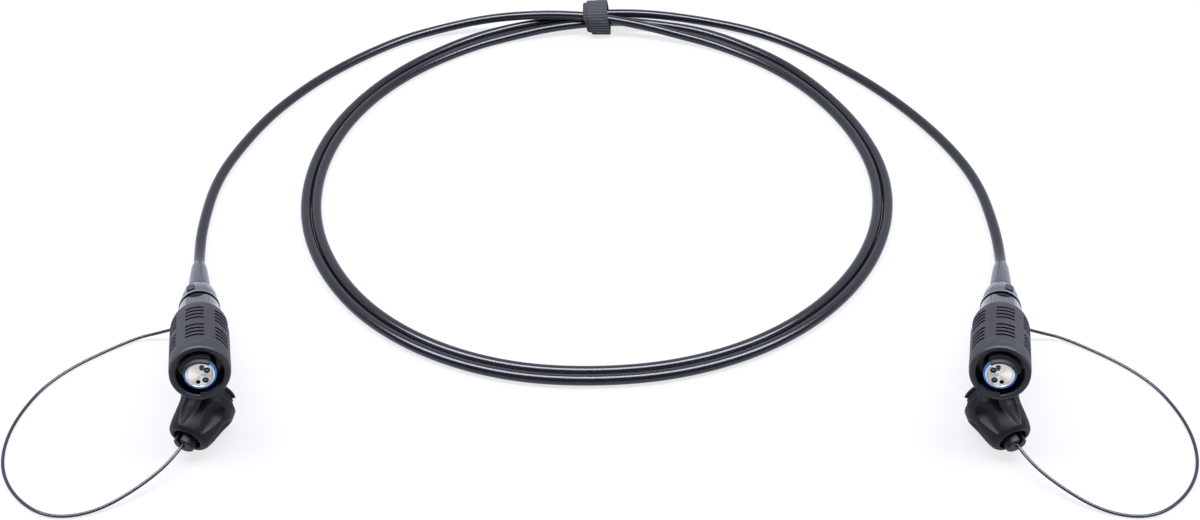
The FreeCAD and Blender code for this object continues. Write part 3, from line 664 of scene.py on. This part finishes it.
def evenly(line, step):
    # the line's points at equal steps of its length
    gone = lengthAlong(line)
    want = np.linspace(0, gone[-1], int(gone[-1] / step) + 1)
    return np.stack([np.interp(want, gone, line[:, k]) for k in range(3)], 1), want


def squareTo(line):
    # for each point: sideways and upward directions square to the line
    ahead = np.gradient(line, axis=0)
    ahead /= np.linalg.norm(ahead, axis=1)[:, None]
    side = np.cross(ahead, (0, 0, 1))
    side /= np.linalg.norm(side, axis=1)[:, None]
    return side, np.cross(side, ahead)


def tubeGrid(line, radius, sides):
    # line + radius (cos a side + sin a up); radius is one number or one for each point and angle
    side, up = squareTo(line)
    angle = np.linspace(0, 2 * math.pi, sides, endpoint=False)[None, :, None]
    ring = np.cos(angle) * side[:, None] + np.sin(angle) * up[:, None]
    return line[:, None] + np.broadcast_to(radius, (len(line), sides))[..., None] * ring


def layCable():
    # a tube of even radius along one line: left lead, near turn, crossing, far turn, right lead
    leave = atNose([(0, 0, cable["start"]), (0, 0, cable["straight"])])
    leadLeft = [(-223.6, -27, lie), (-224.5, 17, lie), (-215, 56, lie), (-201, 92, lie),
                (-175, 132.5, lie), (-137, 170, lie), (-106, 185, 4.2), (-74, 189.6, 9.2),
                (-40, 188.6, 12.6), (-11, 186.6, 12.8), (9, 184.4, 10.8), (30, 181, 8.2),
                (50, 176.2, 5.2)]
    crossing = [(-34, 183, 5.6), (-10, 187.4, 6.3), (9, 190.2, 6.3), (32, 189.4, 5.2),
                (61.6, 185.4, lie)]
    leadRight = [(-62, 185.8, 3.4), (-36, 190.4, 6), (-10, 193.8, 8.8), (9, 195, 9.8), (36, 196.6, 8),
                 (68, 194.6, 4.4), (101, 184.6, lie), (128, 167, lie), (162, 133, lie), (188, 97, lie),
                 (209, 56, lie), (221, 15, lie), (221.8, -27, lie)]
    near, far = cable["near"], cable["far"]
    route = [*leave, *leadLeft, *coilTurn(near, cable["nearShift"]),
             strand(near, 90 + cable["opening"], cable["leaveCoil"]), *crossing,
             *coilTurn(far, cable["farShift"]), *leadRight, *(leave[::-1] * (-1, 1, 1))]
    line = smoothLine("cableLine", route, cable["resolution"])
    line, gone = evenly(line, cable["spacing"])
    grid = tubeGrid(line, cable["radius"], cable["sides"])
    length = gone[-1] * mm
    part = shell(grid, False, True, (1.0, length * cable["mapsPerMetre"]))
    piece = meshPiece("cable", [part], "cable_jacket")
    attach(piece, "assembly")
    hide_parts("cable_lead_left", "cable_coil", "cable_crossover", "cable_lead_right")
    print("cable", round(length, 3), "m")


layCable()

# Lanyards: coated wire rope of six strands with a twist
lanyard = {
    "radius": 0.8, "valley": 0.1, "strands": 6, "lay": 8.5, "crown": (0.71, 0.79),
    "sides": 36, "resolution": 24, "spacing": 0.42, "mapLength": 5.0,
    "socket": (10.0, 261.5, -82.0), "lead": 195.5, "lean": 21.0,
    "fromSocket": (6.6, 22.0), "intoCap": (-8.6, 7.5),
}


def ropeRadius(angle):
    # radius - valley (1 - cos(strands * angle)) / 2: the coat softens the strands under it
    return lanyard["radius"] - lanyard["valley"] * (1 - np.cos(lanyard["strands"] * angle)) / 2


def lanyardExit():
    # where the lanyard's socket stands on the collar, and which way it points
    lean = math.radians(lanyard["lean"])
    return polar(*lanyard["socket"]), polar(math.cos(lean), lanyard["lead"], -math.sin(lean))


def layLanyards():
    # a tube from collar to cap whose lobed section turns once in each lay of the rope
    root, outward = lanyardExit()
    low = lanyard["radius"]
    route = [*atNose([root + outward * far for far in lanyard["fromSocket"]]),
             (-241, -115.4, low), (-273, -141.8, low), (-283.7, -171.1, low), (-282.4, -197.9, low),
             (-270.7, -218.3, low), (-251.1, -232.3, low), (-229.6, -229.8, low), (-210, -216.7, 4.5),
             *atCap([(0, 0, deep) for deep in lanyard["intoCap"]])]
    line = smoothLine("lanyardLine", route, lanyard["resolution"])
    line, gone = evenly(line, lanyard["spacing"])
    turn = np.linspace(0, 2 * math.pi, lanyard["sides"], endpoint=False)
    radius = ropeRadius(turn[None, :] - 2 * math.pi * gone[:, None] / lanyard["lay"])
    grid = tubeGrid(line, radius, lanyard["sides"])
    # painted highlight where the strands stand highest
    crown = smooth(radius, *lanyard["crown"])
    mapSize = (1.0, gone[-1] / lanyard["mapLength"])
    for side, flip in (("left", 1), ("right", -1)):
        part = shell(grid * (flip, 1, 1), False, True, mapSize, crown=crown)
        piece = meshPiece(side + "_lanyard_rope", [part], "lanyard_coat")
        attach(piece, "assembly")
        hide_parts(side + "_lanyard")
    print("lanyards", round(gone[-1] * mm, 3), "m each")


layLanyards()

# Grip sleeve: six raised panels of cross grooves with shallow flutes between them
grip = {
    "radius": 13.9, "length": 57.0, "bore": 11.6, "lip": 10.35, "mouth": 10.8,
    "grooves": 4, "grooveWide": 1.8, "grooveDeep": 1.3, "groovePitch": 3.9, "grooveFront": 13.2,
    "groups": 2, "groupPitch": 20.0, "panels": 6, "panelTurn": 90.0, "panelHalf": 18.3,
    "fluteHalf": 11.0, "fluteDeep": 0.35, "fluteFront": (9.4, 11.4), "fluteBack": (52.0, 49.8),
    "notchTurn": -74.0, "notchHalf": 25.5, "notchDeep": 1.0,
    "seam": 5.7, "seamWide": 0.2, "seamDeep": 0.2, "shoulderShadeSpan": (50.5, 54.5), "shoulderShade": 0.4, "rimSheen": 0.35,
}


def grooveCentres():
    # height of each groove's middle: -(front + group * its pitch + number * its pitch)
    group, number = np.meshgrid(np.arange(grip["groups"]), np.arange(grip["grooves"]), indexing="ij")
    return (-grip["grooveFront"] - group * grip["groupPitch"] - number * grip["groovePitch"]).ravel()


def gripOutline():
    # half section of the sleeve, with extra rows on its straight side for grooves, seam and flutes
    rad, end, lip, bore, mouth = (grip[key] for key in ("radius", "length", "lip", "bore", "mouth"))
    outline = softOutline([
        (mouth + 0.45, 0, 0.3), (rad - 0.75, 0, 0.55), (rad - 0.15, -1.0, 0.5), (rad, -5.0, 0.3),
        (rad, -end + 9, 3), (rad - 0.5, -end + 4.5, 2), (rad - 1.6, -end + 1.8, 1.2),
        (rad - 2.9, -end, 0.5), (lip, -end, 0.2), (lip, -end + 3.2, 0.15), (bore, -end + 3.4, 0.15),
        (bore, -1, 0.1), (mouth, -1, 0.1), (mouth, -0.45, 0.2)])
    edge = grip["grooveWide"] / 2
    across = np.array([-0.3, -0.17, -0.1, -0.03, 0.04, 0.11, 0.19, 0.26, 0.5]) + edge
    across = np.r_[across, -across, 0, grip["groovePitch"] / 2]
    heights = np.r_[(grooveCentres()[:, None] + across[None, :]).ravel(),
                    -grip["seam"] + np.linspace(-0.6, 0.6, 9), np.linspace(-9.2, -11.6, 9),
                    np.linspace(-49.5, -52, 6), -29, -30, -31]
    side = np.flatnonzero((outline[:, 0] > rad - 0.02) & (outline[:, 1] < -4.9))
    high, low = outline[side[0], 1], outline[side[-1], 1]
    heights = np.sort(heights[(heights > low + 0.01) & (heights < high - 0.01)])[::-1]
    heights = heights[np.r_[True, np.diff(heights) < -0.02]]
    rows = np.c_[np.full(len(heights), rad), heights]
    return np.concatenate([outline[:side[0] + 1], rows, outline[side[-1]:]])


def gripColumns():
    # angles that stand close together at the edges of panels, flutes and notch
    fine = np.array([-2.4, -1.1, -0.7, -0.35, 0, 0.35, 0.7, 1.1, 2.4])
    share = 360 / grip["panels"]
    panel, notch = grip["panelHalf"], grip["notchHalf"]
    flute = share / 2 - grip["fluteHalf"] + fine[2:7]
    spots = np.r_[panel + fine, -panel - fine, np.linspace(-15, 15, 7), flute, -flute, share / 2]
    panels = grip["panelTurn"] + np.arange(grip["panels"]) * share
    angles = (panels[:, None] + spots[None, :]).ravel()
    notches = grip["notchTurn"] + np.r_[notch + fine, -notch - fine]
    angles = np.sort(np.r_[angles, notches] % 360)
    return angles[np.r_[True, np.diff(angles) > 0.12]]


def makeGrip():
    # radius = outline - grooves - flutes - seam and height = outline - notch, all with soft edges
    outline, turn = gripOutline(), gripColumns()[None, :]
    base, height = outline[:, :1], outline[:, 1:]
    outer = (base > grip["bore"] + 0.5) & (height < -3)
    share = 360 / grip["panels"]
    off = np.abs((turn - grip["panelTurn"] + share / 2) % share - share / 2)
    wide = 1 - smooth(off, grip["panelHalf"] - 0.7, grip["panelHalf"] + 0.7)
    edge = grip["grooveWide"] / 2
    gap = np.abs(height - grooveCentres()[None, :]).min(1, keepdims=True)
    groove = (1 - smooth(gap, edge - 0.18, edge + 0.2)) * wide * outer
    valley = 1 - smooth(share / 2 - off, grip["fluteHalf"] - 1.0, grip["fluteHalf"] + 1.0)
    valley = valley * smooth(-height, *grip["fluteFront"]) * smooth(-height, *grip["fluteBack"])
    seam = np.exp(-((height + grip["seam"]) / grip["seamWide"]) ** 2) * outer
    aside = np.abs(turnGap(turn, grip["notchTurn"]))
    cut = 1 - smooth(aside, grip["notchHalf"] - 0.6, grip["notchHalf"] + 0.6)
    radius = base - grip["grooveDeep"] * groove - grip["fluteDeep"] * valley * outer
    radius = radius - grip["seamDeep"] * seam
    height = height - grip["notchDeep"] * cut * smooth(height, -1.1, -0.2)
    # the grooves and the rear shoulder get painted shade and are darker than the panels; edges and rim
    # get painted highlight and are lighter
    dark = (1 - smooth(gap, edge + 0.04, edge + 0.24)) * wide * outer
    hollow = np.maximum(dark, grip["shoulderShade"] * smooth(-height, *grip["shoulderShadeSpan"]))
    # painted highlight: the edges of grooves, flutes and notch, and the front rim, are lighter
    wear = groove * (1 - groove) + 2 * valley * (1 - valley) * outer
    wear = wear + 4 * cut * (1 - cut) * (height > -1.3)
    rim = smooth(height, -1.6, -0.5) * (base > grip["radius"] - 1.6)
    wear = np.clip(wear + grip["rimSheen"] * rim, 0, 1)
    grid = atNose(polar(radius, turn, height))
    bothEnds("grip", [shell(grid, uvSize=(8.0, 12.0), wear=wear, hollow=hollow)],
             "grip_rubber", "sleeve", "grip_sleeve")


makeGrip()

# Dust cap shell: a tapered sleeve with six teardrop scallops
capShell = {
    "small": 10.75, "big": 13.55, "waist": 4.0, "corner": 18.1, "end": 23.2, "mouth": 12.8, "hole": 6.8,
    "bore": 8.35, "step": 5.1, "clipGroove": (9.7, 8.0, 0.8), "scallops": 6, "turn": 23.0,
    # the scallop's wide and narrow end: place along the axis, depth and radius
    "ball": (12.2, 2.3, 7.5), "tip": (2.0, 0.35, 1.8),
    "rowStep": 0.24, "columns": 312, "deepest": 4.0, "halvings": 26, "softPasses": 3, "edgeSheenGain": 14,
}


def teardropGap(x, y, z, ball, tip):
    # distance to a round cone: two balls and the cone that touches both, given as (x, z, radius)
    span = np.array([tip[0] - ball[0], tip[1] - ball[1]])
    reach = np.linalg.norm(span)
    span /= reach
    fall = (ball[2] - tip[2]) / reach
    lean = math.sqrt(1 - fall ** 2)
    on = (x - ball[0]) * span[0] + (z - ball[1]) * span[1]
    out = np.hypot((x - ball[0]) * span[1] - (z - ball[1]) * span[0], y)
    k = on * lean - out * fall
    nearBall = np.hypot(on, out) - ball[2]
    nearTip = np.hypot(on - reach, out) - tip[2]
    cone = out * lean + on * fall - ball[2]
    return np.where(k < 0, nearBall, np.where(k > reach * lean, nearTip, cone))


def capOutline():
    # half section of the shell with dense rows over its tapered side, and which rows those are
    c = capShell
    upper, lower, deep = c["clipGroove"]
    outline = softOutline([
        (c["hole"] + 0.35, 0, 0.25), (c["small"] - 2.2, 0, 1.0), (c["small"] - 0.9, 1.3, 1.0),
        (c["small"], c["waist"], 1.6), (c["big"], c["corner"], 1.2), (c["mouth"], c["end"], 0.6),
        (c["bore"], c["end"], 0.2), (c["bore"], upper, 0.05), (c["bore"] + deep, upper, 0.05),
        (c["bore"] + deep, lower, 0.05), (c["bore"], lower, 0.05), (c["bore"], c["step"], 0.05),
        (c["hole"], c["step"], 0.1), (c["hole"], 0.35, 0.25)], 3)
    gone = lengthAlong(outline)
    first = np.argmax(outline[:, 0] > c["small"] - 1.7)
    last = np.flatnonzero(outline[:, 1] >= c["end"] - 0.02)[0]
    dense = np.arange(gone[first], gone[last], c["rowStep"])
    want = np.r_[gone[:first], dense, gone[last:]]
    outer = np.zeros((len(want), 1), bool)
    outer[first:first + len(dense)] = True
    return np.stack([np.interp(want, gone, outline[:, k]) for k in (0, 1)], 1), outer


def scallopBall(at, deep, radius):
    # (x, z, radius) of a ball that dips that deep into the tapered side
    c = capShell
    slope = (c["big"] - c["small"]) / (c["corner"] - c["waist"])
    return c["small"] + slope * (at - c["waist"]) - deep + radius, at, radius


def makeCapShell():
    # radius = the outline's, or where a scallop's teardrop starts on the way out from the axis
    c = capShell
    outline, outer = capOutline()
    turn = np.linspace(0, 360, c["columns"], endpoint=False)[None, :]
    radius, height = np.broadcast_arrays(outline[:, :1], outline[:, 1:] + 0 * turn)
    ball, tip = scallopBall(*c["ball"]), scallopBall(*c["tip"])
    share = 360 / c["scallops"]
    off = np.radians((turn - c["turn"] + share / 2) % share - share / 2)

    def inTeardrop(reach):
        return teardropGap(reach * np.cos(off), reach * np.sin(off), height, ball, tip) < 0

    inside, outside = radius - c["deepest"], radius
    for halving in range(c["halvings"]):
        middle = (inside + outside) / 2
        hit = inTeardrop(middle)
        inside, outside = np.where(hit, inside, middle), np.where(hit, middle, outside)
    shaped = np.where(inTeardrop(radius) & outer, inside, radius)
    # the scallops' edges are softened: a quarter of each neighbour and half of itself, both ways
    soft = shaped
    for softPass in range(c["softPasses"]):
        soft = (np.roll(soft, 1, 1) + 2 * soft + np.roll(soft, -1, 1)) / 4
        soft[1:-1] = np.where(outer[1:-1], (soft[:-2] + 2 * soft[1:-1] + soft[2:]) / 4, soft[1:-1])
    soft = np.where(outer, soft, radius)
    # painted highlight on the scallops' rims, as strong as the softening moved the surface there
    wear = np.clip(np.abs(soft - shaped) * c["edgeSheenGain"], 0, 1) * outer
    grid = atCap(polar(soft, turn, height))
    bothEnds("cap", [shell(grid, uvSize=(8.0, 8.0), wear=wear)], "cap_plastic", "cap_turn", "cap_shell")


makeCapShell()

# Turned pieces of the rear end: radii, and places along the axis behind the nose
rearEnd = {
    "nut": 8.4, "flange": 10.1, "thread": 7.25, "nutBore": 5.9, "nutSpan": (-74.0, -83.0, -93.0),
    "boot": 5.75, "bootTip": 3.9, "bootBore": 3.05, "bootSpan": (-90.1, -134.6), "columns": (112, 88),
}


def makeNut():
    # flange, plain barrel and stepped bore: one outline spun round the axis
    nut, flange, thread, bore = (rearEnd[key] for key in ("nut", "flange", "thread", "nutBore"))
    front, step, back = rearEnd["nutSpan"]
    outline = softOutline([
        (thread, front, 0.1), (flange, front, 0.3), (flange, -77.0, 0.5), (flange - 0.6, -77.9, 0.4),
        (nut, -78.3, 0.3), (nut, -90.0, 1.0), (nut - 0.5, -91.8, 0.8), (nut - 1.4, back, 0.4),
        (bore, back, 0.2), (bore, step, 0.1), (thread, step, 0.1)])
    part = shell(atNose(turned(outline, rearEnd["columns"][0])), uvSize=(6.0, 6.0))
    bothEnds("nut", [part], "body_metal", "assembly", "gland_nut")


def makeBoot():
    # a tapered sleeve: one outline spun round the axis
    boot, tip, bore = (rearEnd[key] for key in ("boot", "bootTip", "bootBore"))
    front, back = rearEnd["bootSpan"]
    outline = softOutline([
        (bore, front, 0.1), (boot, front, 0.2), (boot, -99.0, 2.0), (boot - 0.2, -104.0, 2.0),
        (tip + 0.6, -122.6, 4.0), (tip, -130.6, 2.0), (bore + 0.12, back, 0.3), (bore, back, 0)])
    part = shell(atNose(turned(outline, rearEnd["columns"][1])), uvSize=(5.0, 9.0))
    bothEnds("boot_sleeve", [part], "boot_rubber", "assembly", "boot")


makeNut()
makeBoot()

# Lanyard collar: a hoop round the nut with its closing block and the lanyard's socket and crimp
collar = {
    "front": -79.5, "back": -84.5, "bore": 8.45, "radius": 9.0, "columns": 112,
    "blockTurn": 106.0, "blockAt": 9.4, "blockHalf": (1.2, 2.1, 2.85), "blockSquare": 0.45,
    "socket": 2.0, "socketHole": 0.4, "socketStart": 0.3, "socketEnd": 6.0, "socketColumns": 44,
    "crimp": 1.4, "crimpEnd": 12.0, "crimpBore": 0.86, "crimpHole": 0.35, "waistDeep": 0.28,
    # distance from the socket's end, and whether the barrel is pressed in there
    "waists": ((0.5, 0), (1.3, 0), (1.8, 1), (2.5, 1), (3.0, 0), (3.6, 0), (4.1, 1), (4.8, 1), (5.3, 0)),
}


def softBlock(half, square):
    # half * sign(w) |w| ** square with w on the unit ball: a box with soft corners
    turn = np.linspace(0, 360, 56, endpoint=False)[None, :]
    rise = np.radians(np.linspace(-89, 89, 29))[:, None]
    ball = polar(np.cos(rise), turn, np.sin(rise))
    return np.sign(ball) * np.abs(ball) ** square * half


def makeCollar():
    # hoop and socket are outlines spun round their axes, the block is a box with soft corners
    c = collar
    hoop = turned(softOutline([
        (c["bore"], c["front"], 0.1), (c["radius"], c["front"], 0.25),
        (c["radius"], c["back"], 0.25), (c["bore"], c["back"], 0.1)]), c["columns"])
    outward, aside = polar(1.0, c["blockTurn"], 0.0), polar(1.0, c["blockTurn"] + 90, 0.0)
    block = softBlock(c["blockHalf"], c["blockSquare"]) + (c["blockAt"], 0, 0)
    block = block @ np.array([outward, aside, (0, 0, 1)]) + (0, 0, (c["front"] + c["back"]) / 2)
    root, lead = lanyardExit()
    wide, hole, start, end = (c[key] for key in ("socket", "socketHole", "socketStart", "socketEnd"))
    socket = softOutline([
        (hole, start, 0.1), (wide, start, 0.3), (wide, end - 1.2, 0.6), (wide - 0.35, end, 0.25),
        (hole, end, 0.1)])
    socket = turned(socket, c["socketColumns"]) @ axesAlong(lead).T + root
    parts = [shell(atNose(grid), closed, True, (2.0, 2.0), block=np.full(grid.shape[:2], dark))
             for grid, closed, dark in ((hoop, True, 0.0), (block, False, 1.0), (socket, True, 1.0))]
    bothEnds("collar_hoop", parts, "collar_plastic", "assembly", "collar")


def makeCrimp():
    # a barrel on the lanyard with two pressed waists
    c = collar
    root, lead = lanyardExit()
    wide, end, bore, hole = (c[key] for key in ("crimp", "crimpEnd", "crimpBore", "crimpHole"))
    start = c["socketEnd"]
    waists = [(wide - c["waistDeep"] * pressed, start + far, 0.25) for far, pressed in c["waists"]]
    outline = softOutline([
        (hole, start + 0.02, 0), (wide - 0.15, start + 0.02, 0.1), *waists, (wide, end - 0.2, 0.15),
        (wide - 0.25, end, 0.1), (bore, end, 0.05), (bore, start + 0.5, 0), (hole, start + 0.5, 0)])
    barrel = turned(outline, c["socketColumns"]) @ axesAlong(lead).T + root
    part = shell(atNose(barrel), uvSize=(2.0, 4.0))
    bothEnds("lanyard_crimp", [part], "pin_steel", "assembly", "lanyard_ferrule")


makeCollar()
makeCrimp()

# Tie: a strap with cross ribs, wound twice round the strands and leaning a little
tie = {
    "centre": (-0.6, 189.7, 9.6), "inside": (17.0, 13.2), "layer": 1.5, "wide": 13.2, "shift": 2.6,
    "corner": 4.0, "rib": 1.85, "ribHigh": 0.36, "ribMiddle": 0.55, "outerPhase": 0.4, "steps": 360,
    "lean": 0.19, "taper": 0.006, "roll": 0.07, "rollOver": (-2.0, 9.0),
}


def roundedLoop(deep, high, corner, count):
    # outline of a rounded rectangle in the YZ plane, with even steps, and its outward directions
    quarter = np.linspace(0, math.pi / 2, 24)
    parts = []
    for k, (sy, sz) in enumerate(((1, 1), (-1, 1), (-1, -1), (1, -1))):
        a = quarter + k * math.pi / 2
        parts.append(np.stack([sy * (deep / 2 - corner) + corner * np.cos(a),
                               sz * (high / 2 - corner) + corner * np.sin(a)], 1))
    ring = np.concatenate(parts)
    ring = np.r_[ring, ring[:1]]
    gone = lengthAlong(ring)
    want = np.linspace(0, gone[-1], count, endpoint=False)
    spots = np.stack([np.interp(want, gone, ring[:, k]) for k in (0, 1)], 1)
    ahead = np.roll(spots, -1, 0) - np.roll(spots, 1, 0)
    ahead /= np.linalg.norm(ahead, axis=1)[:, None]
    return spots, np.stack([ahead[:, 1], -ahead[:, 0]], 1), want, gone[-1]


def strapLayer(grow, shift, phase):
    # one layer: a flat rounded strap section carried round the loop, its outer face ribbed
    deep, high = (n + 2 * grow + tie["layer"] for n in tie["inside"])
    corner = tie["corner"] + grow + tie["layer"] / 2
    spots, outward, gone, whole = roundedLoop(deep, high, corner, tie["steps"])
    wide, thick = tie["wide"] / 2, tie["layer"] / 2
    section = softOutline([(-wide, -thick + 0.06, 0.5), (wide, -thick + 0.06, 0.5),
                           (wide, thick - 0.12, 0.75), (-wide, thick - 0.12, 0.75)], 4)
    ribs = round(whole / tie["rib"])
    wave = 0.5 + 0.5 * np.cos(2 * math.pi * (ribs * gone / whole + phase))
    top = smooth(section[:, 1], 0, thick - 0.15)
    inner = 1 - smooth(np.abs(section[:, 0]), wide - 0.9, wide - 0.3)
    lift = tie["ribHigh"] * (wave[:, None] - tie["ribMiddle"]) * (top * inner)[None, :]
    side, off = section[None, :, 0], section[None, :, 1] + lift
    # it leans to the left, is a little wider at the top, and its top falls to the left
    rise = spots[:, None, 1] + off * outward[:, None, 1]
    x = tie["centre"][0] + shift + side * (1 + tie["taper"] * rise) - tie["lean"] * rise
    y = tie["centre"][1] + spots[:, None, 0] + off * outward[:, None, 0]
    z = tie["centre"][2] + rise + tie["roll"] * side * smooth(rise, *tie["rollOver"])
    # painted highlight on the rib crests and painted shade between them, strongest on the outer face
    rib = np.broadcast_to(wave[:, None], off.shape) * (0.4 + 0.6 * top[None, :])
    return shell(np.stack([x, y, z], -1), True, True, (8.0, 26.0), rib=rib)


def wrapTie():
    # two layers, the inner one shifted to the left
    layers = [strapLayer(0.0, -tie["shift"], 0.0), strapLayer(tie["layer"], 0.0, tie["outerPhase"])]
    strap = meshPiece("tie_wrap", layers, "tie_fabric")
    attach(strap, "assembly")
    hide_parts("tie_strap")
    print("tie wound,", len(strap.data.polygons), "faces")


wrapTie()
